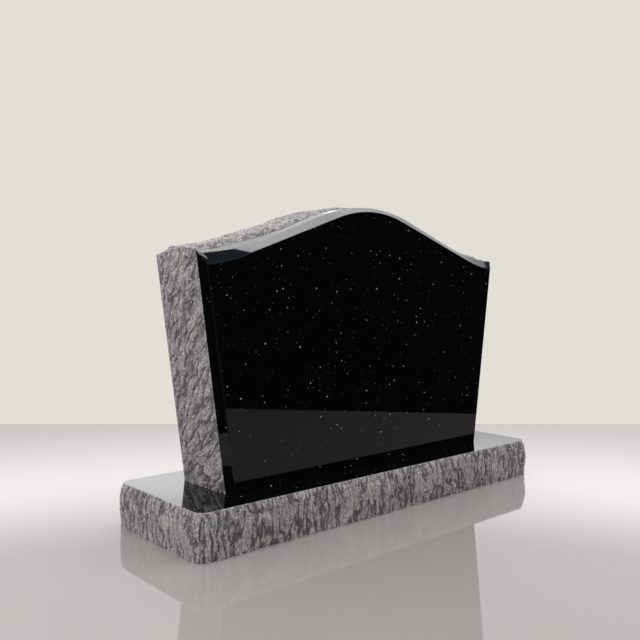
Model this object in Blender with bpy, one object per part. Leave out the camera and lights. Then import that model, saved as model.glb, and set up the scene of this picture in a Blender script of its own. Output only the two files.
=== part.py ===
"""Headstone of polished black granite: an upright tablet on a rectangular base.

The face, the bevels round it and the front strip of the serpentine top are polished.
The ends, the back part of the top and the four edges of the base are rock-pitched:
worked with a pitching tool, so they swell out beyond their straight arrises.

Metres, +Z up. The origin is the centre of the base's underside. +X runs along the
width, to the right of someone who reads the face, and +Y runs from the face to the back.
"""
import math
from collections import namedtuple

import bmesh
import bpy
from mathutils import Vector, noise

# Base: the sizes run from arris to arris of its polished top
BASE_WIDTH = 0.900
BASE_DEPTH = 0.273
BASE_HEIGHT = 0.081
BASE_CORNER_RADIUS = 0.020
BASE_SWELL = 0.008            # most that a rock-pitched edge stands out beyond its arris
BASE_FOOT_SHARE = 0.6         # share of that swell left at the floor
BASE_CELL = 0.012             # step along the edge between rows of facets
BASE_ROWS = 7
BASE_CORNER_STEPS = 4

# Tablet: heights are above the base's top
JOINT_GAP = 0.0003
TABLET_DEPTH = 0.148
FOOT_WIDTH = 0.699
SHOULDER_WIDTH = 0.810
BEVEL_DEPTH = 0.0133
BEVEL_INSET = 0.0136
SIDE_SWELL = 0.009
SIDE_ROWS = 30
TOP_COLUMNS = 68
DEPTH_ROWS = 11

# Serpentine top: a crown arc, a straight slope and a hollow arc that ends level
Ogee = namedtuple("Ogee", "peak crown_radius slope hollow_start hollow_radius")
TOP_OUTER = Ogee(0.5196, 0.355, math.radians(19.9), 0.259, 0.501)
TOP_INNER = Ogee(0.5104, 0.267, math.radians(19.2), 0.312, 0.330)

# Top surface behind the bevel
STRIP_DEPTH = 0.040           # polished strip, from the bevel back to the rough part
STRIP_WANDER = 0.010          # how far the edge of the strip wanders to and fro
STRIP_BLEND = 0.014           # depth over which the rough part rises out of the strip
CREST_SWELL = 0.004           # swell of the rough part at the middle of the top
SHOULDER_SWELL = 0.010        # and at the two shoulders
SHOULDER_LIFT = 0.006         # the strip sweeps up to the rough part at the shoulders
LIFT_START = 0.180
LIFT_END = 0.320
END_WIDTH = 0.030             # left end: the outermost stretch of the top is rough to the bevel
LEFT_SPUR = (0.003, 0.006)    # out and up: the bevel's mitre runs on to the rough corner
RIGHT_SPUR = (0.002, 0.0)

# Grain of the rock-pitched surfaces
BROAD_SIZE = 0.085
CHIP_SIZE = 0.034
BROAD_SHARE = 0.42
CHIP_SHARE = 0.62

BLACK_POLISHED = (0.012, 0.012, 0.014, 1.0)
POLISHED_ROUGHNESS = 0.06


def ramp(value, start, stop):
    """Rise smoothly from 0 at start to 1 at stop."""
    share = min(max((value - start) / (stop - start), 0.0), 1.0)
    return share * share * (3.0 - 2.0 * share)


def rock(place):
    """Share of the full swell at a point of a rock-pitched surface, from 0 to 1."""
    broad = noise.noise(place / BROAD_SIZE)
    chips = abs(noise.noise(place / CHIP_SIZE + Vector((7.3, 2.1, 5.7))))
    share = 0.5 + BROAD_SHARE * broad + CHIP_SHARE * (chips - 0.15)
    return min(max(share * 1.25, 0.0), 1.0)


def ogee_height(x, line):
    """Height of a serpentine line above the base's top, at x from the middle."""
    run = abs(x)
    sine, cosine = math.sin(line.slope), math.cos(line.slope)
    crown_end = line.crown_radius * sine
    if run <= crown_end:
        return line.peak - line.crown_radius + math.sqrt(line.crown_radius ** 2 - run ** 2)
    height = line.peak - line.crown_radius * (1.0 - cosine)
    if run <= line.hollow_start:
        return height - (run - crown_end) * math.tan(line.slope)
    height -= (line.hollow_start - crown_end) * math.tan(line.slope)
    left = line.hollow_radius * sine - min(run - line.hollow_start, line.hollow_radius * sine)
    return height - math.sqrt(line.hollow_radius ** 2 - left ** 2) + line.hollow_radius * cosine


def tablet_columns(inset, line):
    """Points (x, z) up the left side, over the top and down the right side."""
    shoulder = SHOULDER_WIDTH / 2.0 - inset
    foot = FOOT_WIDTH / 2.0 - inset
    corner_height = ogee_height(shoulder, line)
    left = []
    for row in range(SIDE_ROWS):
        share = row / SIDE_ROWS
        left.append((-foot - (shoulder - foot) * share, corner_height * share))
    top = []
    for column in range(TOP_COLUMNS + 1):
        x = -shoulder + 2.0 * shoulder * column / TOP_COLUMNS
        top.append((x, ogee_height(x, line)))
    right = [(-x, z) for x, z in reversed(left)]
    return left + top + right


def side_swell(sign, height, depth):
    """How far an end of the tablet stands out beyond its front and back arrises."""
    across = (depth - BEVEL_DEPTH) / (TABLET_DEPTH - BEVEL_DEPTH)
    envelope = 1.0 - abs(2.0 * across - 1.0) ** 4
    share = rock(Vector((sign * 2.0, depth * 1.2, height * 0.8)))
    return SIDE_SWELL * envelope * (0.35 + 0.65 * share)


def top_swell(x, depth):
    """How far the top rises above its serpentine line, behind the bevel."""
    shoulder = SHOULDER_WIDTH / 2.0
    out = abs(x)
    behind = depth - BEVEL_DEPTH
    wander = STRIP_WANDER * noise.noise(Vector((x / 0.045, 3.7, 0.0)))
    ends = ramp(-x, shoulder - END_WIDTH, shoulder)
    edge = (STRIP_DEPTH + wander) * (1.0 - ends) - STRIP_BLEND * ends
    rough = ramp(behind, edge, edge + STRIP_BLEND)
    full = CREST_SWELL + (SHOULDER_SWELL - CREST_SWELL) * ramp(out, 0.060, LIFT_END)
    corner = 1.0 - ends * ramp(depth, TABLET_DEPTH / 2.0, TABLET_DEPTH)
    front = ramp(behind, 0.0, STRIP_BLEND)
    share = 0.35 + 0.65 * rock(Vector((x, depth, 4.0)))
    lift = SHOULDER_LIFT * ramp(out, LIFT_START, LIFT_END) * (1.0 - ends)
    lift *= ramp(behind, 0.0, STRIP_DEPTH)
    return lift * corner + full * rough * share * corner * front


def tablet_ring(depth):
    """Closed ring of points round the tablet at a depth behind its face."""
    base_top = BASE_HEIGHT + JOINT_GAP
    y = -TABLET_DEPTH / 2.0 + depth
    last_left = SIDE_ROWS
    first_right = SIDE_ROWS + TOP_COLUMNS
    ring = []
    for index, (x, z) in enumerate(tablet_columns(0.0, TOP_OUTER)):
        out, up = 0.0, 0.0
        sign = -1.0 if index <= last_left else 1.0
        if index <= last_left or index >= first_right:
            out = side_swell(sign, z, depth)
        if last_left <= index <= first_right:
            up = top_swell(x, depth)
        ring.append(Vector((x + sign * out, y, base_top + z + up)))
    return ring


def face_ring():
    """Ring round the flat face, inside the bevels."""
    points = tablet_columns(BEVEL_INSET, TOP_INNER)
    return [Vector((x, -TABLET_DEPTH / 2.0, BASE_HEIGHT + JOINT_GAP + z)) for x, z in points]


def loft(name, rings, material):
    """Join a stack of rings into one closed solid with flat ends."""
    bm = bmesh.new()
    rows = [[bm.verts.new(point) for point in ring] for ring in rings]
    count = len(rows[0])
    for low, high in zip(rows, rows[1:]):
        for index in range(count):
            after = (index + 1) % count
            bm.faces.new((low[index], low[after], high[after], high[index]))
    bm.faces.new(rows[0])
    bm.faces.new(rows[-1])
    bmesh.ops.recalc_face_normals(bm, faces=bm.faces)
    mesh = bpy.data.meshes.new(name)
    bm.to_mesh(mesh)
    bm.free()
    mesh.shade_smooth()
    mesh.set_sharp_from_angle(angle=math.radians(25.0))
    mesh.materials.append(material)
    piece = bpy.data.objects.new(name, mesh)
    bpy.context.scene.collection.objects.link(piece)
    return piece


def base_outline():
    """Points of the base's top arris with their outward directions, anticlockwise."""
    half_x, half_y = BASE_WIDTH / 2.0, BASE_DEPTH / 2.0
    radius = BASE_CORNER_RADIUS
    corners = [(half_x, -half_y), (half_x, half_y), (-half_x, half_y), (-half_x, -half_y)]
    runs = [BASE_DEPTH - 2.0 * radius, BASE_WIDTH - 2.0 * radius] * 2
    points = []
    for index, (corner_x, corner_y) in enumerate(corners):
        centre = Vector((corner_x - math.copysign(radius, corner_x),
                         corner_y - math.copysign(radius, corner_y)))
        start = math.radians(-90.0 + 90.0 * index)
        for step in range(BASE_CORNER_STEPS + 1):
            angle = start + math.radians(90.0) * step / BASE_CORNER_STEPS
            outward = Vector((math.cos(angle), math.sin(angle)))
            points.append((centre + radius * outward, outward))
        place, outward = points[-1]
        along = Vector((-outward.y, outward.x))
        cells = round(runs[index] / BASE_CELL)
        for cell in range(1, cells):
            points.append((place + along * runs[index] * cell / cells, outward))
    return points


def base_swell(place, height):
    """How far a rock-pitched edge of the base stands out at a height above the floor."""
    share = height / BASE_HEIGHT
    envelope = (1.0 - share ** 5) * (BASE_FOOT_SHARE + (1.0 - BASE_FOOT_SHARE) * ramp(share, 0.0, 0.6))
    grain = rock(Vector((place.x, place.y, height * 0.6)))
    return BASE_SWELL * min(envelope * (0.40 + 0.85 * grain), 1.0)


def make_base(material):
    """The rectangular base, level above and below, with rock-pitched edges."""
    outline = base_outline()
    rings = []
    for row in range(BASE_ROWS + 1):
        height = BASE_HEIGHT * row / BASE_ROWS
        ring = []
        for place, outward in outline:
            spot = place + outward * base_swell(place, height)
            ring.append(Vector((spot.x, spot.y, height)))
        rings.append(ring)
    return loft("base", rings, material)


def make_tablet(material):
    """The upright tablet, from the bevelled face back to the flat rear."""
    rings = [face_ring()]
    for row in range(DEPTH_ROWS + 1):
        depth = BEVEL_DEPTH + (TABLET_DEPTH - BEVEL_DEPTH) * row / DEPTH_ROWS
        rings.append(tablet_ring(depth))
    spurs = ((SIDE_ROWS, -1.0, LEFT_SPUR), (SIDE_ROWS + TOP_COLUMNS, 1.0, RIGHT_SPUR))
    for corner, sign, (out, up) in spurs:
        rings[1][corner] += Vector((sign * out, 0.0, up))
    return loft("tablet", rings, material)


def polished_granite():
    """Black granite with a mirror polish."""
    material = bpy.data.materials.new("black_granite")
    material.use_nodes = True
    shader = material.node_tree.nodes["Principled BSDF"]
    shader.inputs["Base Color"].default_value = BLACK_POLISHED
    shader.inputs["Roughness"].default_value = POLISHED_ROUGHNESS
    shader.inputs["Metallic"].default_value = 0.0
    return material


def main():
    """Clear the scene and build both stones."""
    for thing in list(bpy.data.objects):
        bpy.data.objects.remove(thing, do_unlink=True)
    granite = polished_granite()
    make_base(granite)
    make_tablet(granite)


main()
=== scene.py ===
"""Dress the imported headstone: polished black granite with rock-pitched ends and edges.

Each stone is a class that repeats the named sizes of its solid, builds a fine mesh of
the same form and lets a Geometry Nodes tree break its worked faces into chips and tool
strokes. Each finish is a frozen dataclass. Metres, +Z up, face towards -Y.
"""
import logging
import math
from dataclasses import dataclass, field
from enum import IntEnum

import bmesh
import bpy
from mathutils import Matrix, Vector, noise


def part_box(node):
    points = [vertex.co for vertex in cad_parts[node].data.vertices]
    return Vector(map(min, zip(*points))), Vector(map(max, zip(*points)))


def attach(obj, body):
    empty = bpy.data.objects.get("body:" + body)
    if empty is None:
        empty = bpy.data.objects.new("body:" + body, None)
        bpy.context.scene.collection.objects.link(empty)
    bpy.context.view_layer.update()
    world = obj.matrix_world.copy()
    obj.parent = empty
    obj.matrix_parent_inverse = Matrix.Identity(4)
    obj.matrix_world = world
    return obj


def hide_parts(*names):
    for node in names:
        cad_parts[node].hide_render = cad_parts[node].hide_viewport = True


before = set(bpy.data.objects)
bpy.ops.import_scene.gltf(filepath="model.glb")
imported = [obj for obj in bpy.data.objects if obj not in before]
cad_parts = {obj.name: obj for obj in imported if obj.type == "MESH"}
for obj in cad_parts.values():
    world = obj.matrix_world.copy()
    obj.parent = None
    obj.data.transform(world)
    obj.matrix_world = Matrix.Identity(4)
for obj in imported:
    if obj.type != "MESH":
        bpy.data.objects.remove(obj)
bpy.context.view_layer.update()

MILLIMETRE = 0.001

log = logging.getLogger("headstone")


class Work(IntEnum):
    """How a face of the stone was worked. The value is stored on the mesh's faces."""

    POLISHED = 0
    PITCHED = 1
    SAWN = 2


def linear(hex_colour: str) -> tuple[float, float, float, float]:
    """Turn an sRGB hex colour into linear red, green, blue and full alpha.

    Args:
        hex_colour: Six hex digits after a #.

    Returns:
        The four linear channels.
    """
    channels = [int(hex_colour[start:start + 2], 16) / 255.0 for start in (1, 3, 5)]
    turned = [c / 12.92 if c <= 0.04045 else ((c + 0.055) / 1.055) ** 2.4 for c in channels]
    return (*turned, 1.0)


def ramp(value: float, start: float, stop: float) -> float:
    """Rise smoothly from 0 at start to 1 at stop.

    Args:
        value: Where to read the ramp.
        start: Where it leaves 0.
        stop: Where it reaches 1.

    Returns:
        A share from 0 to 1.
    """
    share = min(max((value - start) / (stop - start), 0.0), 1.0)
    return share * share * (3.0 - 2.0 * share)


def add_node(tree: bpy.types.NodeTree, kind: str, settings: dict | None = None,
             inputs: dict | None = None) -> bpy.types.Node:
    """Add a node with its settings and links.

    Args:
        tree: The tree that gets the node.
        kind: The node's type name.
        settings: Attributes of the node by name.
        inputs: Values or output sockets by the name or index of the input they feed.

    Returns:
        The new node.
    """
    node = tree.nodes.new(kind)
    for name, value in (settings or {}).items():
        setattr(node, name, value)
    for key, value in (inputs or {}).items():
        if isinstance(value, bpy.types.NodeSocket):
            tree.links.new(value, node.inputs[key])
        else:
            node.inputs[key].default_value = value
    return node


def new_material(name: str) -> tuple[bpy.types.Material, bpy.types.NodeTree, bpy.types.Node]:
    """Make a node material with an empty Principled shader.

    Args:
        name: The material's name.

    Returns:
        The material, its tree and its shader.
    """
    material = bpy.data.materials.new(name)
    material.use_nodes = True
    return material, material.node_tree, material.node_tree.nodes["Principled BSDF"]


def maths(tree: bpy.types.NodeTree, operation: str, *values: object) -> bpy.types.NodeSocket:
    """Add a Math node.

    Args:
        tree: The tree that gets the node.
        operation: The node's operation.
        *values: Numbers or sockets for its inputs.

    Returns:
        The node's output.
    """
    return add_node(tree, "ShaderNodeMath", {"operation": operation},
                    dict(enumerate(values))).outputs["Value"]


def vector_maths(tree: bpy.types.NodeTree, operation: str,
                 *values: object) -> bpy.types.NodeSocket:
    """Add a Vector Math node.

    Args:
        tree: The tree that gets the node.
        operation: The node's operation.
        *values: Vectors or sockets for its inputs.

    Returns:
        The node's output.
    """
    return add_node(tree, "ShaderNodeVectorMath", {"operation": operation},
                    dict(enumerate(values))).outputs["Vector"]


def mixed(tree: bpy.types.NodeTree, factor: object, first: object,
          second: object) -> bpy.types.NodeSocket:
    """Mix two colours.

    Args:
        tree: The tree that gets the node.
        factor: Share of the second colour, a number or a socket.
        first: The first colour or its socket.
        second: The second colour or its socket.

    Returns:
        The mixed colour.
    """
    return add_node(tree, "ShaderNodeMix", {"data_type": "RGBA"}, {
        "Factor": factor, "A": first, "B": second}).outputs["Result"]


def spread(tree: bpy.types.NodeTree, value: object, start: float, stop: float,
           low: float = 0.0, high: float = 1.0) -> bpy.types.NodeSocket:
    """Spread a value smoothly from a range onto another.

    Args:
        tree: The tree that gets the node.
        value: The value's socket.
        start: Where the value gives low.
        stop: Where the value gives high.
        low: The result at start.
        high: The result at stop.

    Returns:
        The result.
    """
    return add_node(tree, "ShaderNodeMapRange", {"interpolation_type": "SMOOTHSTEP"}, {
        "Value": value, "From Min": start, "From Max": stop,
        "To Min": low, "To Max": high}).outputs["Result"]


@dataclass(frozen=True)
class Strokes:
    """Wavy creases between smooth pillows, as a pitching tool leaves them.

    The relief tree and the finish both read it, so the finish's painted shade in the creases lies in
    the hollows.
    """

    turn: float                       # lean of the strokes from upright, about X
    seed: float
    size: float = 0.015
    length: float = 4.2               # times the size
    wander: float = 0.021
    crease: float = 0.15              # share of the noise's swing that a crease takes up
    second: float = 1.9               # times finer that the smaller creases are

    def add_to(self, tree: bpy.types.NodeTree, place: bpy.types.NodeSocket,
               given: dict[str, object], finer: float = 1.0) -> bpy.types.NodeSocket:
        """Add the pattern to a tree.

        Args:
            tree: A shader tree or a Geometry Nodes tree.
            place: The coordinates to read.
            given: Numbers or sockets that take the place of the pattern's own sizes.
            finer: How many times finer the pattern is.

        Returns:
            0 in the creases, rising to 1 on the pillows.
        """
        size = given.get("Stroke Size", self.size)
        scale = maths(tree, "DIVIDE", finer, size)
        slow = maths(tree, "DIVIDE", 0.4 * finer, size)
        bend = add_node(tree, "ShaderNodeTexNoise", {"noise_dimensions": "4D"}, {
            "Vector": place, "W": given.get("Seed", self.seed), "Scale": slow,
            "Detail": 1.0}).outputs["Color"]
        aside = vector_maths(tree, "SUBTRACT", bend, (0.5, 0.5, 0.5))
        wander = self.wander / finer
        pushed = vector_maths(tree, "MULTIPLY_ADD", aside, (wander, wander, wander), place)
        turned = add_node(tree, "ShaderNodeVectorRotate", {"rotation_type": "X_AXIS"}, {
            "Vector": pushed, "Angle": given.get("Stroke Turn", self.turn)}).outputs["Vector"]
        squeeze = maths(tree, "DIVIDE", 1.0, given.get("Stroke Length", self.length))
        factors = add_node(tree, "ShaderNodeCombineXYZ", {}, {
            "X": 1.0, "Y": 1.0, "Z": squeeze}).outputs["Vector"]
        drawn = vector_maths(tree, "MULTIPLY", turned, factors)
        waves = add_node(tree, "ShaderNodeTexNoise", {"noise_dimensions": "4D"}, {
            "Vector": drawn, "W": given.get("Seed", self.seed), "Scale": scale,
            "Detail": 1.5, "Roughness": 0.45}).outputs["Fac"]
        swing = maths(tree, "ABSOLUTE", maths(tree, "SUBTRACT", waves, 0.5))
        return spread(tree, swing, 0.0, self.crease * 0.5)


@dataclass(frozen=True)
class PolishedGranite:
    """Black gabbro sold as granite, ground and buffed to a mirror.

    It reads as deep black glass: sharp, weak reflections from the front that grow
    strong at a glancing view, and scattered flecks of pale feldspar and bronze mica
    that sit in the stone, so that they stay put as the view moves. A ground arris is
    painted a shade greyer: a highlight painted along the edge.
    """

    ground: str = "#060607"
    pale_fleck: str = "#e4e7ee"
    bronze_fleck: str = "#a08c74"
    # painted highlight: the colour that the face's arris is painted
    arris: str = "#111214"
    roughness: float = 0.02
    ior: float = 1.5
    fleck_spacing_mm: float = 13.5
    fleck_radius_mm: float = 1.5      # drawn larger than a real fleck, to show
    dust_spacing_mm: float = 8.0
    dust_radius_mm: float = 0.88      # drawn larger than real dust, to show
    dust_share: float = 0.25
    fleck_contrast: float = 2.1       # above 1, most flecks are dim and a few bright

    def material(self) -> bpy.types.Material:
        """Build the material."""
        material, tree, shader = new_material("polished_black_granite")
        place = add_node(tree, "ShaderNodeTexCoord").outputs["Object"]
        # Painted highlight: the black turns a shade greyer where the arris attribute is 1.
        arris_share = add_node(tree, "ShaderNodeAttribute", {"attribute_name": "arris"}).outputs["Fac"]
        colour = mixed(tree, arris_share, linear(self.ground), linear(self.arris))
        layers = ((self.dust_spacing_mm, self.dust_radius_mm, self.dust_share, 0.5),
                  (self.fleck_spacing_mm, self.fleck_radius_mm, 1.0, 0.0))
        for spacing, radius, strength, offset in layers:
            moved = vector_maths(tree, "ADD", place, (offset, offset, offset))
            cells = add_node(tree, "ShaderNodeTexVoronoi", {}, {
                "Vector": moved, "Scale": 1.0 / (spacing * MILLIMETRE), "Randomness": 1.0})
            inside = spread(tree, cells.outputs["Distance"], radius / spacing,
                            0.5 * radius / spacing)
            random = add_node(tree, "ShaderNodeSeparateColor", {},
                              {"Color": cells.outputs["Color"]})
            bright = maths(tree, "POWER", random.outputs["Red"], self.fleck_contrast)
            amount = maths(tree, "MULTIPLY", maths(tree, "MULTIPLY", inside, bright), strength)
            tone = mixed(tree, random.outputs["Green"], linear(self.pale_fleck),
                         linear(self.bronze_fleck))
            colour = mixed(tree, amount, colour, tone)
        tree.links.new(colour, shader.inputs["Base Color"])
        shader.inputs["Roughness"].default_value = self.roughness
        shader.inputs["IOR"].default_value = self.ior
        return material


@dataclass(frozen=True)
class PitchedGranite:
    """The same stone broken with a pitching tool, left as it split.

    Crushed crystal faces scatter light, so the black stone turns mid grey: warm and
    bluish pillows, painted shade in the creases between them, pale streaks along the
    strokes, grains of salt and pepper and a few glinting crystals.
    """

    name: str
    strokes: Strokes
    warm: str = "#979090"
    cool: str = "#7d7c81"
    # painted shade: the colour of the creases between the pillows
    crease: str = "#595458"
    pale: str = "#b5aeaa"
    glint: str = "#f6f4f0"
    roughness: float = 0.6
    ior: float = 1.5
    patch_mm: float = 38.0
    grain_mm: float = 1.9
    streak_finer: float = 3.2         # times finer than the creases
    bump_mm: float = 0.6

    def material(self) -> bpy.types.Material:
        """Build the material."""
        material, tree, shader = new_material(self.name)
        place = add_node(tree, "ShaderNodeAttribute", {"attribute_name": "worked"}).outputs["Vector"]
        patches = add_node(tree, "ShaderNodeTexNoise", {}, {
            "Vector": place, "Scale": 1.0 / (self.patch_mm * MILLIMETRE), "Detail": 3.0,
            "Distortion": 0.8}).outputs["Fac"]
        tone = mixed(tree, spread(tree, patches, 0.38, 0.62), linear(self.warm), linear(self.cool))
        fine = self.strokes.add_to(tree, place, {}, self.streak_finer)
        streaked = mixed(tree, maths(tree, "MULTIPLY", fine, 0.45), tone, linear(self.pale))
        coarse = self.strokes.add_to(tree, place, {})
        medium = self.strokes.add_to(tree, place, {}, self.strokes.second)
        open_share = maths(tree, "MULTIPLY", coarse, maths(tree, "MULTIPLY_ADD", medium, 0.55, 0.45))
        # Painted shade: darkens the creases, where the relief tree sinks the stone.
        crease_shaded = mixed(tree, open_share, linear(self.crease), streaked)
        crystals = add_node(tree, "ShaderNodeTexVoronoi", {}, {
            "Vector": place, "Scale": 1.0 / (self.grain_mm * MILLIMETRE)})
        shade = add_node(tree, "ShaderNodeSeparateColor", {}, {"Color": crystals.outputs["Color"]})
        pepper = spread(tree, shade.outputs["Red"], 0.0, 1.0, 0.66, 1.26)
        grained = add_node(tree, "ShaderNodeVectorMath", {"operation": "SCALE"}, {
            0: crease_shaded, "Scale": pepper}).outputs["Vector"]
        glints = spread(tree, shade.outputs["Green"], 0.968, 0.99, 0.0, 0.6)
        # Painted glints, and a paler top arris: partly crushed stone, partly a painted highlight.
        crush_and_highlight = add_node(tree, "ShaderNodeAttribute", {"attribute_name": "arris"}).outputs["Fac"]
        final = mixed(tree, maths(tree, "MAXIMUM", glints, crush_and_highlight), grained, linear(self.glint))
        tree.links.new(final, shader.inputs["Base Color"])
        rough = add_node(tree, "ShaderNodeTexNoise", {}, {
            "Vector": place, "Scale": 1.0 / (2.4 * MILLIMETRE), "Detail": 3.0}).outputs["Fac"]
        height = maths(tree, "ADD", rough, maths(tree, "MULTIPLY", fine, 0.6))
        bump = add_node(tree, "ShaderNodeBump", {}, {
            "Strength": 0.7, "Distance": self.bump_mm * MILLIMETRE, "Height": height})
        tree.links.new(bump.outputs["Normal"], shader.inputs["Normal"])
        shader.inputs["Roughness"].default_value = self.roughness
        shader.inputs["IOR"].default_value = self.ior
        return material


@dataclass(frozen=True)
class SawnGranite:
    """The same stone as the saw left it, on the back and underneath.

    It is dark grey and matt, with faint level lines from the blade.
    """

    ground: str = "#2e2d2f"
    line: str = "#403f42"
    roughness: float = 0.48
    ior: float = 1.5
    line_spacing_mm: float = 5.0

    def material(self) -> bpy.types.Material:
        """Build the material."""
        material, tree, shader = new_material("sawn_granite")
        place = add_node(tree, "ShaderNodeTexCoord").outputs["Object"]
        flat = add_node(tree, "ShaderNodeMapping", {}, {
            "Vector": place, "Scale": (0.03, 0.03, 1.0)}).outputs["Vector"]
        marks = add_node(tree, "ShaderNodeTexNoise", {}, {
            "Vector": flat, "Scale": 1.0 / (self.line_spacing_mm * MILLIMETRE), "Detail": 2.0})
        grain = add_node(tree, "ShaderNodeTexNoise", {}, {
            "Vector": place, "Scale": 1.0 / (1.6 * MILLIMETRE), "Detail": 2.0})
        both = add_node(tree, "ShaderNodeMath", {"operation": "MULTIPLY"}, {
            0: marks.outputs["Fac"], 1: grain.outputs["Fac"]})
        share = add_node(tree, "ShaderNodeMapRange", {}, {
            "Value": both.outputs["Value"], "From Min": 0.12, "From Max": 0.40})
        colour = add_node(tree, "ShaderNodeMix", {"data_type": "RGBA"}, {
            "Factor": share.outputs["Result"], "A": linear(self.ground), "B": linear(self.line)})
        tree.links.new(colour.outputs["Result"], shader.inputs["Base Color"])
        bump = add_node(tree, "ShaderNodeBump", {}, {
            "Strength": 0.4, "Distance": 0.2 * MILLIMETRE, "Height": both.outputs["Value"]})
        tree.links.new(bump.outputs["Normal"], shader.inputs["Normal"])
        shader.inputs["Roughness"].default_value = self.roughness
        shader.inputs["IOR"].default_value = self.ior
        return material


@dataclass(frozen=True)
class RockGrain:
    """The broad swells and chips that the solids carry too."""

    broad_size: float = 0.085
    chip_size: float = 0.034
    broad_share: float = 0.42
    chip_share: float = 0.62

    def share(self, place: Vector) -> float:
        """Share of the full swell at a point, from 0 to 1.

        Args:
            place: The point, in metres.

        Returns:
            The share.
        """
        broad = noise.noise(place / self.broad_size)
        chips = abs(noise.noise(place / self.chip_size + Vector((7.3, 2.1, 5.7))))
        share = 0.5 + self.broad_share * broad + self.chip_share * (chips - 0.15)
        return min(max(share * 1.25, 0.0), 1.0)


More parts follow.
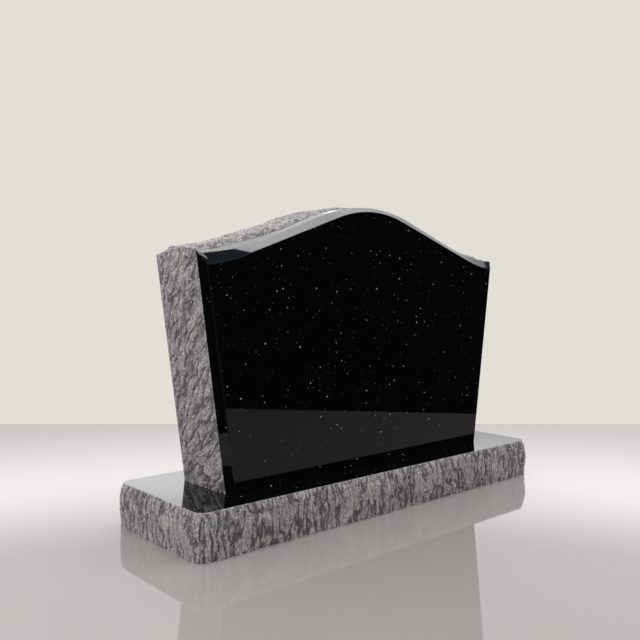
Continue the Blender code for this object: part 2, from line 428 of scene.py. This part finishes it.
@dataclass
class ReliefTree:
    """Geometry Nodes tree that chips and scores the worked faces of a stone.

    It moves points along their outward attribute, in proportion to their pitched
    attribute, keeps them inside the solid's box, and gives each face its finish. It
    leaves the place each point had in the attribute "worked", which the finish reads.
    """

    name: str
    strokes: Strokes
    stroke_depth: float = 0.0030
    finer_depth: float = 0.0014
    chip_size: float = 0.020
    chip_depth: float = 0.0012
    grain_size: float = 0.0045
    grain_depth: float = 0.0005
    level: float = 0.72               # share of a stroke that stays at the surface
    identifiers: dict[str, str] = field(default_factory=dict)

    def build(self) -> bpy.types.NodeTree:
        """Build the tree and note the identifier of each named input."""
        tree = bpy.data.node_groups.new(self.name, "GeometryNodeTree")
        sockets = tree.interface
        sockets.new_socket("Geometry", in_out="INPUT", socket_type="NodeSocketGeometry")
        for name, kind in (("Seed", "Float"), ("Stroke Size", "Float"),
                           ("Stroke Length", "Float"), ("Stroke Turn", "Float"),
                           ("Stroke Depth", "Float"), ("Finer Depth", "Float"),
                           ("Chip Size", "Float"), ("Chip Depth", "Float"),
                           ("Grain Size", "Float"), ("Grain Depth", "Float"),
                           ("Low Corner", "Vector"), ("High Corner", "Vector"),
                           ("Polished", "Material"), ("Pitched", "Material"),
                           ("Sawn", "Material")):
            made = sockets.new_socket(name, in_out="INPUT", socket_type=f"NodeSocket{kind}")
            self.identifiers[name] = made.identifier
        sockets.new_socket("Geometry", in_out="OUTPUT", socket_type="NodeSocketGeometry")
        given = tree.nodes.new("NodeGroupInput").outputs
        place = add_node(tree, "GeometryNodeInputPosition").outputs["Position"]
        noted = add_node(tree, "GeometryNodeStoreNamedAttribute",
                         {"data_type": "FLOAT_VECTOR", "domain": "POINT"}, {
                             "Geometry": given["Geometry"], "Name": "worked", "Value": place})
        sizes = {name: given[name] for name in ("Seed", "Stroke Size", "Stroke Length",
                                                "Stroke Turn")}
        coarse = self.strokes.add_to(tree, place, sizes)
        medium = self.strokes.add_to(tree, place, sizes, self.strokes.second)
        total = maths(tree, "ADD", self._sunk(tree, coarse, given["Stroke Depth"], self.level),
                      self._sunk(tree, medium, given["Finer Depth"], self.level))
        total = maths(tree, "ADD", total, self._chips(tree, given, place))
        total = maths(tree, "ADD", total, self._grain(tree, given, place))
        pitched = add_node(tree, "GeometryNodeInputNamedAttribute", {"data_type": "FLOAT"},
                           {"Name": "pitched"}).outputs["Attribute"]
        outward = add_node(tree, "GeometryNodeInputNamedAttribute",
                           {"data_type": "FLOAT_VECTOR"}, {"Name": "outward"}).outputs["Attribute"]
        offset = add_node(tree, "ShaderNodeVectorMath", {"operation": "SCALE"}, {
            0: outward, "Scale": maths(tree, "MULTIPLY", total, pitched)}).outputs["Vector"]
        moved = add_node(tree, "GeometryNodeSetPosition", {}, {
            "Geometry": noted.outputs["Geometry"], "Offset": offset}).outputs["Geometry"]
        below = vector_maths(tree, "MINIMUM", place, given["High Corner"])
        kept = vector_maths(tree, "MAXIMUM", below, given["Low Corner"])
        boxed = add_node(tree, "GeometryNodeSetPosition", {}, {
            "Geometry": moved, "Position": kept}).outputs["Geometry"]
        shape = add_node(tree, "GeometryNodeRealizeInstances", {},
                         {"Geometry": boxed}).outputs["Geometry"]
        work = add_node(tree, "GeometryNodeInputNamedAttribute", {"data_type": "INT"},
                        {"Name": "work"}).outputs["Attribute"]
        for kind, name in ((Work.POLISHED, "Polished"), (Work.PITCHED, "Pitched"),
                           (Work.SAWN, "Sawn")):
            chosen = add_node(tree, "FunctionNodeCompare",
                              {"data_type": "INT", "operation": "EQUAL"},
                              {"A": work, "B": int(kind)}).outputs["Result"]
            shape = add_node(tree, "GeometryNodeSetMaterial", {}, {
                "Geometry": shape, "Selection": chosen,
                "Material": given[name]}).outputs["Geometry"]
        out = tree.nodes.new("NodeGroupOutput")
        tree.links.new(shape, out.inputs["Geometry"])
        return tree

    def _sunk(self, tree: bpy.types.NodeTree, pattern: bpy.types.NodeSocket,
              depth: bpy.types.NodeSocket, level: float) -> bpy.types.NodeSocket:
        """Turn a pattern into heights, sunk where the pattern is 0.

        Args:
            tree: The tree.
            pattern: The pattern, from 0 to 1.
            depth: The height from its lowest to its highest.
            level: The share of the pattern that stays at the surface.

        Returns:
            The height at each point.
        """
        return maths(tree, "MULTIPLY", maths(tree, "SUBTRACT", pattern, level), depth)

    def _grain(self, tree: bpy.types.NodeTree, given: bpy.types.NodeOutputs,
               place: bpy.types.NodeSocket) -> bpy.types.NodeSocket:
        """Fine grain of the split, from minus to plus its depth.

        Args:
            tree: The tree.
            given: The tree's inputs.
            place: The coordinates to read.

        Returns:
            The height at each point.
        """
        texture = add_node(tree, "ShaderNodeTexNoise", {"noise_dimensions": "4D"}, {
            "Vector": place, "W": given["Seed"],
            "Scale": maths(tree, "DIVIDE", 1.0, given["Grain Size"]), "Detail": 2.0,
            "Roughness": 0.5}).outputs["Fac"]
        swing = maths(tree, "MULTIPLY", maths(tree, "SUBTRACT", texture, 0.5), 4.0)
        return maths(tree, "MULTIPLY", swing, given["Grain Depth"])

    def _chips(self, tree: bpy.types.NodeTree, given: bpy.types.NodeOutputs,
               place: bpy.types.NodeSocket) -> bpy.types.NodeSocket:
        """Shell-shaped chips with soft ridges between them.

        Args:
            tree: The tree.
            given: The tree's inputs.
            place: The coordinates to read.

        Returns:
            The height at each point.
        """
        cells = add_node(tree, "ShaderNodeTexVoronoi",
                         {"voronoi_dimensions": "4D", "feature": "SMOOTH_F1"}, {
                             "Vector": place, "W": given["Seed"],
                             "Scale": maths(tree, "DIVIDE", 1.0, given["Chip Size"]),
                             "Smoothness": 0.4}).outputs["Distance"]
        return self._sunk(tree, cells, given["Chip Depth"], 0.45)

    def apply(self, rough: bpy.types.Object, solid: str,
              finishes: dict[str, bpy.types.Material]) -> bpy.types.Object:
        """Run the tree on a stone and return the finished plain mesh.

        Args:
            rough: The stone before its fine relief.
            solid: The CAD node whose box the stone keeps to.
            finishes: The material of each named input.

        Returns:
            The finished stone.
        """
        tree = self.build()
        low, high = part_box(solid)
        values = {"Seed": self.strokes.seed, "Stroke Size": self.strokes.size,
                  "Stroke Length": self.strokes.length, "Stroke Turn": self.strokes.turn,
                  "Stroke Depth": self.stroke_depth, "Finer Depth": self.finer_depth,
                  "Chip Size": self.chip_size, "Chip Depth": self.chip_depth,
                  "Grain Size": self.grain_size, "Grain Depth": self.grain_depth,
                  "Low Corner": low, "High Corner": high, **finishes}
        modifier = rough.modifiers.new("relief", "NODES")
        modifier.node_group = tree
        for name, value in values.items():
            modifier[self.identifiers[name]] = value
        bpy.context.view_layer.update()
        depsgraph = bpy.context.evaluated_depsgraph_get()
        mesh = bpy.data.meshes.new_from_object(rough.evaluated_get(depsgraph))
        rough.modifiers.remove(modifier)
        name = rough.name
        bpy.data.objects.remove(rough, do_unlink=True)
        mesh.name = name
        mesh.shade_smooth()
        mesh.set_sharp_from_angle(angle=math.radians(10.0))
        piece = bpy.data.objects.new(name, mesh)
        bpy.context.scene.collection.objects.link(piece)
        return piece


@dataclass
class StoneMesh:
    """Collects the points and faces of a stone, with what the relief tree reads."""

    name: str
    points: list[Vector] = field(default_factory=list)
    outward: list[Vector] = field(default_factory=list)
    pitched: list[float] = field(default_factory=list)
    # paler along an arris: a painted highlight, and crushed stone on pitched faces
    arris: list[float] = field(default_factory=list)
    faces: list[tuple[int, ...]] = field(default_factory=list)
    works: list[Work] = field(default_factory=list)

    def add_point(self, place: Vector, outward: Vector, pitched: float, arris: float) -> int:
        """Add a point and return its index.

        Args:
            place: Where it is.
            outward: The direction in which the relief moves it.
            pitched: The share of the relief that it takes.
            arris: How much paler it is painted along an arris, from 0 to 1: a painted highlight, and
                on pitched faces crushed stone too.

        Returns:
            The point's index.
        """
        self.points.append(place)
        self.outward.append(outward)
        self.pitched.append(pitched)
        self.arris.append(arris)
        return len(self.points) - 1

    def add_face(self, corners: tuple[int, ...], work: Work) -> None:
        """Add a face with the way it was worked."""
        self.faces.append(corners)
        self.works.append(work)

    def to_object(self) -> bpy.types.Object:
        """Make the mesh object, closed and with its faces pointing out."""
        mesh = bpy.data.meshes.new(self.name)
        mesh.from_pydata([tuple(p) for p in self.points], [], self.faces)
        work = mesh.attributes.new("work", "INT", "FACE")
        work.data.foreach_set("value", [int(w) for w in self.works])
        for name, values in (("pitched", self.pitched), ("arris", self.arris)):
            layer = mesh.attributes.new(name, "FLOAT", "POINT")
            layer.data.foreach_set("value", values)
        layer = mesh.attributes.new("outward", "FLOAT_VECTOR", "POINT")
        layer.data.foreach_set("vector", [c for v in self.outward for c in v])
        bm = bmesh.new()
        bm.from_mesh(mesh)
        bmesh.ops.recalc_face_normals(bm, faces=bm.faces)
        bm.to_mesh(mesh)
        bm.free()
        stone = bpy.data.objects.new(self.name, mesh)
        bpy.context.scene.collection.objects.link(stone)
        return stone


@dataclass
class Base:
    """The rectangular base: level mirror top, rock-pitched edges, sawn underside."""

    grain: RockGrain
    width: float = 0.900
    depth: float = 0.273
    height: float = 0.081
    corner_radius: float = 0.020
    swell: float = 0.008
    foot_share: float = 0.6
    cell: float = 0.002
    corner_steps: int = 16
    # width of the paler top arris band: crushed stone and a painted highlight
    arris_band: float = 0.0022

    def outline(self) -> list[tuple[Vector, Vector]]:
        """Points of the top arris with their outward directions, anticlockwise."""
        half_x, half_y = self.width / 2.0, self.depth / 2.0
        corners = [(half_x, -half_y), (half_x, half_y), (-half_x, half_y), (-half_x, -half_y)]
        runs = [self.depth - 2.0 * self.corner_radius, self.width - 2.0 * self.corner_radius] * 2
        points = []
        for index, (corner_x, corner_y) in enumerate(corners):
            centre = Vector((corner_x - math.copysign(self.corner_radius, corner_x),
                             corner_y - math.copysign(self.corner_radius, corner_y), 0.0))
            start = math.radians(-90.0 + 90.0 * index)
            for step in range(self.corner_steps + 1):
                angle = start + math.radians(90.0) * step / self.corner_steps
                outward = Vector((math.cos(angle), math.sin(angle), 0.0))
                points.append((centre + self.corner_radius * outward, outward))
            place, outward = points[-1]
            along = Vector((-outward.y, outward.x, 0.0))
            cells = round(runs[index] / self.cell)
            for cell in range(1, cells):
                points.append((place + along * (runs[index] * cell / cells), outward))
        return points

    def swell_at(self, place: Vector, height: float) -> float:
        """How far an edge stands out at a point of the arris and a height.

        Args:
            place: The point of the arris.
            height: The height above the floor.

        Returns:
            The swell in metres.
        """
        share = height / self.height
        hold = self.foot_share + (1.0 - self.foot_share) * ramp(share, 0.0, 0.6)
        envelope = (1.0 - share ** 5) * hold
        grain = self.grain.share(Vector((place.x, place.y, height * 0.6)))
        return self.swell * min(envelope * (0.40 + 0.85 * grain), 1.0)

    def build(self) -> bpy.types.Object:
        """Build the base without its fine relief."""
        stone = StoneMesh("granite_base")
        outline = self.outline()
        rows = round(self.height / self.cell)
        rings = []
        for row in range(rows + 1):
            height = self.height * row / rows
            below = self.height - height
            pitched = 0.10 + 0.90 * ramp(below, 0.0, 0.009)
            arris = 1.0 - ramp(below, 0.0, self.arris_band)
            ring = []
            for place, outward in outline:
                spot = place + outward * self.swell_at(place, height)
                spot.z = height
                # Paler along the top arris: partly crushed stone, partly a painted highlight.
                crush_and_highlight = 0.35 * arris * (0.5 + 0.5 * noise.noise(spot / 0.011))
                ring.append(stone.add_point(spot, outward, pitched, crush_and_highlight))
            rings.append(ring)
        count = len(outline)
        for low, high in zip(rings, rings[1:]):
            for index in range(count):
                after = (index + 1) % count
                stone.add_face((low[index], low[after], high[after], high[index]), Work.PITCHED)
        stone.add_face(tuple(reversed(rings[0])), Work.SAWN)
        stone.add_face(tuple(rings[-1]), Work.POLISHED)
        return stone.to_object()


@dataclass(frozen=True)
class Ogee:
    """A serpentine line: a crown arc, a straight slope and a hollow arc that ends level."""

    peak: float
    crown_radius: float
    slope_degrees: float
    hollow_start: float
    hollow_radius: float

    def height(self, x: float) -> float:
        """Height of the line at x from the middle.

        Args:
            x: Distance from the middle, either way.

        Returns:
            The height above the base's top.
        """
        run = abs(x)
        slope = math.radians(self.slope_degrees)
        sine, cosine = math.sin(slope), math.cos(slope)
        crown_end = self.crown_radius * sine
        if run <= crown_end:
            return self.peak - self.crown_radius + math.sqrt(self.crown_radius ** 2 - run ** 2)
        height = self.peak - self.crown_radius * (1.0 - cosine)
        if run <= self.hollow_start:
            return height - (run - crown_end) * math.tan(slope)
        height -= (self.hollow_start - crown_end) * math.tan(slope)
        reach = self.hollow_radius * sine
        left = reach - min(run - self.hollow_start, reach)
        return height - math.sqrt(self.hollow_radius ** 2 - left ** 2) + self.hollow_radius * cosine


@dataclass
class Tablet:
    """The upright tablet: bevelled mirror face, polished top strip, rough ends and top."""

    grain: RockGrain
    outer: Ogee = Ogee(0.5196, 0.355, 19.9, 0.259, 0.501)
    inner: Ogee = Ogee(0.5104, 0.267, 19.2, 0.312, 0.330)
    depth: float = 0.148
    foot_width: float = 0.699
    shoulder_width: float = 0.810
    bevel_depth: float = 0.0133
    bevel_inset: float = 0.0136
    bevel_rows: int = 6
    arris_width: float = 0.0008
    side_swell: float = 0.009
    strip_depth: float = 0.040
    strip_wander: float = 0.010
    strip_fray: float = 0.004
    strip_blend: float = 0.014
    crest_swell: float = 0.004
    shoulder_swell: float = 0.010
    shoulder_lift: float = 0.006
    lift_start: float = 0.180
    lift_end: float = 0.320
    end_width: float = 0.030
    left_spur: tuple[float, float] = (0.003, 0.006)
    right_spur: tuple[float, float] = (0.002, 0.0)
    spur_reach: float = 0.012
    cell: float = 0.002
    foot: float = 0.0

    def columns(self, inset: float, line: Ogee) -> list[tuple[float, float]]:
        """Points (x, z) up the left side, over the top and down the right side.

        Args:
            inset: How far the sides lie inside the outline.
            line: The line of the top.

        Returns:
            The points.
        """
        shoulder = self.shoulder_width / 2.0 - inset
        foot = self.foot_width / 2.0 - inset
        corner_height = line.height(shoulder)
        left = []
        for row in range(self.side_rows):
            share = row / self.side_rows
            left.append((-foot - (shoulder - foot) * share, corner_height * share))
        top = []
        for column in range(self.top_columns + 1):
            x = -shoulder + 2.0 * shoulder * column / self.top_columns
            top.append((x, line.height(x)))
        right = [(-x, z) for x, z in reversed(left)]
        return left + top + right

    @property
    def side_rows(self) -> int:
        """Rows of cells up a side."""
        return round(self.outer.height(self.shoulder_width / 2.0) / self.cell)

    @property
    def top_columns(self) -> int:
        """Columns of cells over the top."""
        return round(self.shoulder_width / self.cell)

    def side_swell_at(self, sign: float, height: float, depth: float) -> float:
        """How far an end stands out beyond its front and back arrises.

        Args:
            sign: -1 for the left end and 1 for the right.
            height: Height above the base's top.
            depth: Distance behind the face.

        Returns:
            The swell in metres.
        """
        across = (depth - self.bevel_depth) / (self.depth - self.bevel_depth)
        envelope = 1.0 - abs(2.0 * across - 1.0) ** 4
        share = self.grain.share(Vector((sign * 2.0, depth * 1.2, height * 0.8)))
        return self.side_swell * envelope * (0.35 + 0.65 * share)

    def top_at(self, x: float, depth: float) -> tuple[float, float]:
        """Rise of the top above its line, and how rough it is.

        Args:
            x: Distance from the middle.
            depth: Distance behind the face.

        Returns:
            The rise in metres and the roughness from 0 to 1.
        """
        shoulder = self.shoulder_width / 2.0
        out = abs(x)
        behind = depth - self.bevel_depth
        wander = self.strip_wander * noise.noise(Vector((x / 0.045, 3.7, 0.0)))
        fray = self.strip_fray * noise.noise(Vector((x / 0.009, depth / 0.009, 8.1)))
        ends = ramp(-x, shoulder - self.end_width, shoulder)
        edge = (self.strip_depth + wander) * (1.0 - ends) - self.strip_blend * ends
        rough = ramp(behind, edge, edge + self.strip_blend)
        frayed = ramp(behind, edge + fray, edge + fray + 0.5 * self.strip_blend)
        full = self.crest_swell
        full += (self.shoulder_swell - self.crest_swell) * ramp(out, 0.060, self.lift_end)
        corner = 1.0 - ends * ramp(depth, self.depth / 2.0, self.depth)
        front = ramp(behind, 0.0, self.strip_blend)
        share = 0.35 + 0.65 * self.grain.share(Vector((x, depth, 4.0)))
        lift = self.shoulder_lift * ramp(out, self.lift_start, self.lift_end) * (1.0 - ends)
        lift *= ramp(behind, 0.0, self.strip_depth)
        rise = lift * corner + full * rough * share * corner * front
        return rise, frayed * ramp(behind, 0.0, 0.003)

    def spur_at(self, index: int, behind: float) -> Vector:
        """How far the bevel's mitre pulls a point near a shoulder out and up.

        Args:
            index: The point's place in its ring.
            behind: Distance behind the bevel.

        Returns:
            The offset.
        """
        offset = Vector((0.0, 0.0, 0.0))
        corners = ((self.side_rows, -1.0, self.left_spur),
                   (self.side_rows + self.top_columns, 1.0, self.right_spur))
        for corner, sign, (out, up) in corners:
            on_top = (index - corner) * sign <= 0.0
            reach = self.spur_reach if on_top else self.spur_reach / 3.0
            near = 1.0 - abs(index - corner) * self.cell / reach
            share = max(near, 0.0) * max(1.0 - behind / self.spur_reach, 0.0)
            offset += Vector((sign * out, 0.0, up)) * share
        return offset

    def add_ring(self, stone: StoneMesh, depth: float) -> list[int]:
        """Add the ring of points round the tablet at a depth behind its face.

        Args:
            stone: The mesh in the making.
            depth: Distance behind the face.

        Returns:
            The indices of the ring's points.
        """
        first_top, last_top = self.side_rows, self.side_rows + self.top_columns
        across = (depth - self.bevel_depth) / (self.depth - self.bevel_depth)
        side_rough = 1.0 - abs(2.0 * across - 1.0) ** 14
        ring = []
        for index, (x, z) in enumerate(self.columns(0.0, self.outer)):
            sign = -1.0 if index <= first_top else 1.0
            outward, pitched = Vector((0.0, 0.0, 0.0)), 0.0
            place = Vector((x, depth - self.depth / 2.0, self.foot + z))
            if index <= first_top or index >= last_top:
                place.x += sign * self.side_swell_at(sign, z, depth)
                outward.x, pitched = sign, side_rough
            if first_top <= index <= last_top:
                rise, rough = self.top_at(x, depth)
                place.z += rise
                outward.z, pitched = 1.0, max(pitched, rough)
            place += self.spur_at(index, depth - self.bevel_depth)
            ring.append(stone.add_point(place, outward.normalized(), pitched, 0.0))
        return ring

    def bevel_rings(self, stone: StoneMesh) -> list[list[int]]:
        """Add the rings of the face's edge, its worn arris and the bevel.

        Args:
            stone: The mesh in the making.

        Returns:
            The rings' indices, from the face to the bevel's outer edge.
        """
        face_y = -self.depth / 2.0
        still = Vector((0.0, 0.0, 0.0))
        inner = [Vector((x, face_y, self.foot + z))
                 for x, z in self.columns(self.bevel_inset, self.inner)]
        outer = [Vector((x, face_y + self.bevel_depth, self.foot + z)) + self.spur_at(index, 0.0)
                 for index, (x, z) in enumerate(self.columns(0.0, self.outer))]
        rings = []
        # Arris 1 marks the points that the polished finish paints greyer, a painted highlight along
        # the worn arris.
        for extra, arris in ((2.2 * self.arris_width, 0.0), (self.arris_width, 1.0)):
            points = self.columns(self.bevel_inset + extra, self.inner)
            places = [Vector((x, face_y, self.foot + max(z - extra, 0.0))) for x, z in points]
            rings.append([stone.add_point(place, still, 0.0, arris) for place in places])
        arris_share = self.arris_width / self.bevel_inset
        shares = [arris_share, 2.2 * arris_share]
        shares += [2.2 * arris_share + (1.0 - 2.2 * arris_share) * row / self.bevel_rows
                   for row in range(1, self.bevel_rows)]
        for number, share in enumerate(shares):
            # The first bevel ring carries the painted arris highlight too.
            arris = 1.0 if number == 0 else 0.0
            rings.append([stone.add_point(low.lerp(high, share), still, 0.0, arris)
                          for low, high in zip(inner, outer)])
        return rings

    def build(self) -> bpy.types.Object:
        """Build the tablet without its fine relief."""
        stone = StoneMesh("granite_tablet")
        rings = self.bevel_rings(stone)
        works = [Work.POLISHED] * (len(rings) - 1)
        depth_rows = round((self.depth - self.bevel_depth) / self.cell)
        for row in range(depth_rows + 1):
            depth = self.bevel_depth + (self.depth - self.bevel_depth) * row / depth_rows
            rings.append(self.add_ring(stone, depth))
            works.append(Work.POLISHED if row == 0 else Work.PITCHED)
        count = len(rings[0])
        first_top, last_top = self.side_rows, self.side_rows + self.top_columns
        for work, low, high in zip(works, rings, rings[1:]):
            for index in range(count):
                after = (index + 1) % count
                corners = (low[index], low[after], high[after], high[index])
                found = work
                if work is Work.PITCHED and after == 0:
                    found = Work.SAWN
                if work is Work.PITCHED and first_top <= index < last_top:
                    rough = sum(stone.pitched[c] for c in corners) / 4.0
                    found = Work.PITCHED if rough > 0.5 else Work.POLISHED
                stone.add_face(corners, found)
        stone.add_face(tuple(rings[0]), Work.POLISHED)
        stone.add_face(tuple(rings[-1]), Work.SAWN)
        return stone.to_object()


@dataclass(frozen=True)
class Studio:
    """A plain pale floor, soft light and the camera at the photograph's viewpoint.

    The sky is paler behind the stone and dark in front of it, as mirror-polished
    stone shows both, and lights that only brighten matt surfaces stay out of mirrors.
    """

    camera_place: tuple[float, float, float] = (-1.1084, -1.1774, 0.4497)
    azimuth_degrees: float = 41.27
    pitch_degrees: float = 2.73
    lens_mm: float = 43.49
    sensor_mm: float = 36.0
    floor_back: float = 0.8365
    floor_front: float = -0.74
    floor_left: float = -1.60
    floor_right: float = 1.18
    floor_drop: float = 0.0002
    backdrop: str = "#e2dfd6"
    floor_colour: str = "#a8a2a0"
    soft_light: float = 0.72
    # Three soft lights that mirrors see behind the stone. Heights are sines of elevation.
    wall_foot: float = 0.06
    wall_top: float = 0.20
    wall_glow: float = 1.0
    band_height: float = 0.25
    band_reach: float = 0.075
    band_glow: float = 1.15
    overhead_glow: float = 6.5
    overhead_focus: float = 4.0
    glow_edge: float = 0.20
    front_blue: str = "#707c88"

    def axes(self) -> tuple[Vector, Vector]:
        """Level directions away from the camera and to its right."""
        turn = math.radians(self.azimuth_degrees)
        return Vector((math.sin(turn), math.cos(turn), 0.0)), Vector(
            (math.cos(turn), -math.sin(turn), 0.0))

    def add_camera(self) -> None:
        """Add the camera."""
        data = bpy.data.cameras.new("camera")
        data.sensor_width = self.sensor_mm
        data.lens = self.lens_mm
        camera = bpy.data.objects.new("camera", data)
        camera.location = self.camera_place
        camera.rotation_euler = (math.radians(90.0 - self.pitch_degrees), 0.0,
                                 -math.radians(self.azimuth_degrees))
        bpy.context.scene.collection.objects.link(camera)
        bpy.context.scene.camera = camera

    def add_floor(self) -> bpy.types.Object:
        """Add the floor, a pale board with a soft shine."""
        away, right = self.axes()
        corners = []
        for u, v in ((self.floor_front, self.floor_left), (self.floor_front, self.floor_right),
                     (self.floor_back, self.floor_right), (self.floor_back, self.floor_left)):
            place = away * u + right * v
            corners.append((place.x, place.y, -self.floor_drop))
        mesh = bpy.data.meshes.new("floor")
        mesh.from_pydata(corners, [], [(0, 1, 2, 3)])
        material, _, shader = new_material("floor_board")
        shader.inputs["Base Color"].default_value = linear(self.floor_colour)
        shader.inputs["Roughness"].default_value = 0.04
        shader.inputs["IOR"].default_value = 1.5
        mesh.materials.append(material)
        floor = bpy.data.objects.new("floor", mesh)
        bpy.context.scene.collection.objects.link(floor)
        return floor

    def add_sky(self) -> None:
        """Set the world: what the camera, mirrors and matt surfaces each see."""
        world = bpy.data.worlds.new("studio")
        bpy.context.scene.world = world
        world.use_nodes = True
        tree = world.node_tree
        tree.nodes.clear()
        direction = add_node(tree, "ShaderNodeTexCoord").outputs["Generated"]
        parts = add_node(tree, "ShaderNodeSeparateXYZ", {}, {0: direction}).outputs
        wall = spread(tree, parts["Z"], self.wall_foot, self.wall_top, 0.0, self.wall_glow)
        off_band = maths(tree, "ABSOLUTE", maths(tree, "SUBTRACT", parts["Z"], self.band_height))
        band = spread(tree, off_band, 0.0, self.band_reach, self.band_glow, 0.0)
        rising = maths(tree, "POWER", maths(tree, "MAXIMUM", parts["Z"], 0.0),
                       self.overhead_focus)
        overhead = maths(tree, "MULTIPLY", rising, self.overhead_glow)
        glow = maths(tree, "ADD", maths(tree, "ADD", wall, band), overhead)
        edge = maths(tree, "MULTIPLY_ADD", parts["Z"], self.glow_edge, parts["Y"])
        behind = spread(tree, edge, -0.02, 0.02)
        lit_sky = add_node(tree, "ShaderNodeVectorMath", {"operation": "SCALE"}, {
            0: (1.0, 1.0, 1.0), "Scale": maths(tree, "MULTIPLY", behind, glow)}).outputs["Vector"]
        dusk = maths(tree, "MULTIPLY", spread(tree, parts["Z"], 0.15, 0.60),
                     maths(tree, "SUBTRACT", 1.0, behind))
        front_sky = add_node(tree, "ShaderNodeVectorMath", {"operation": "SCALE"}, {
            0: linear(self.front_blue)[:3], "Scale": dusk}).outputs["Vector"]
        mirrored = vector_maths(tree, "ADD", lit_sky, front_sky)
        path = add_node(tree, "ShaderNodeLightPath")
        matt = add_node(tree, "ShaderNodeBackground", {}, {
            "Color": (1.0, 1.0, 1.0, 1.0), "Strength": self.soft_light}).outputs[0]
        mirror = add_node(tree, "ShaderNodeBackground", {}, {
            "Color": mirrored, "Strength": 1.0}).outputs[0]
        seen = add_node(tree, "ShaderNodeBackground", {}, {
            "Color": linear(self.backdrop), "Strength": 1.0}).outputs[0]
        lit = add_node(tree, "ShaderNodeMixShader", {}, {
            0: path.outputs["Is Glossy Ray"], 1: matt, 2: mirror}).outputs[0]
        final = add_node(tree, "ShaderNodeMixShader", {}, {
            0: path.outputs["Is Camera Ray"], 1: lit, 2: seen}).outputs[0]
        add_node(tree, "ShaderNodeOutputWorld", {}, {"Surface": final})

    def add_light(self, name: str, place: tuple[float, float, float], size: float,
                  watts: float) -> None:
        """Add a soft square light aimed at the stone, hidden from mirrors.

        Args:
            name: The light's name.
            place: Where it hangs.
            size: The length of its side.
            watts: Its power.
        """
        data = bpy.data.lights.new(name, "AREA")
        data.shape = "SQUARE"
        data.size = size
        data.energy = watts
        light = bpy.data.objects.new(name, data)
        light.location = place
        aim = Vector((0.0, 0.0, 0.3)) - Vector(place)
        light.rotation_euler = aim.to_track_quat("-Z", "Y").to_euler()
        light.visible_glossy = False
        light.visible_camera = False
        bpy.context.scene.collection.objects.link(light)

    def build(self) -> None:
        """Build the whole studio."""
        self.add_floor()
        self.add_sky()
        self.add_camera()
        self.add_light("overhead", (0.2, 0.3, 2.4), 1.8, 16.0)
        self.add_light("left", (-2.4, -0.2, 1.1), 1.6, 21.0)
        self.add_light("right_front", (1.9, -1.5, 1.1), 1.2, 19.0)
        bpy.context.scene.view_settings.view_transform = "Standard"


def finish_stone(rough: bpy.types.Object, relief: ReliefTree, solid: str,
                 finishes: dict[str, bpy.types.Material]) -> None:
    """Give a stone its fine relief and finishes, and put it in its solid's place.

    Args:
        rough: The stone without its fine relief.
        relief: The tree that makes the relief.
        solid: The CAD node that the stone stands for.
        finishes: The material of each named input of the tree.
    """
    piece = relief.apply(rough, solid, finishes)
    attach(piece, "root")
    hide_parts(solid)
    log.info("%s: %d faces, stands for %s", piece.name, len(piece.data.polygons), solid)


def main() -> None:
    """Build the studio and both stones."""
    logging.basicConfig(level=logging.INFO, format="%(name)s: %(message)s")
    Studio().build()
    grain = RockGrain()
    polished, sawn = PolishedGranite().material(), SawnGranite().material()
    upright = Strokes(turn=0.0, seed=3.0)
    slanting = Strokes(turn=math.radians(-38.0), seed=8.0)
    base = Base(grain)
    finish_stone(base.build(), ReliefTree("base_relief", upright), "base", {
        "Polished": polished, "Sawn": sawn,
        "Pitched": PitchedGranite("pitched_granite_base", upright).material()})
    tablet = Tablet(grain, foot=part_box("tablet")[0].z)
    finish_stone(tablet.build(), ReliefTree("tablet_relief", slanting), "tablet",
                 {
                     "Polished": polished, "Sawn": sawn,
                     "Pitched": PitchedGranite("pitched_granite_tablet", slanting).material()})


if __name__ == "__main__":
    main()
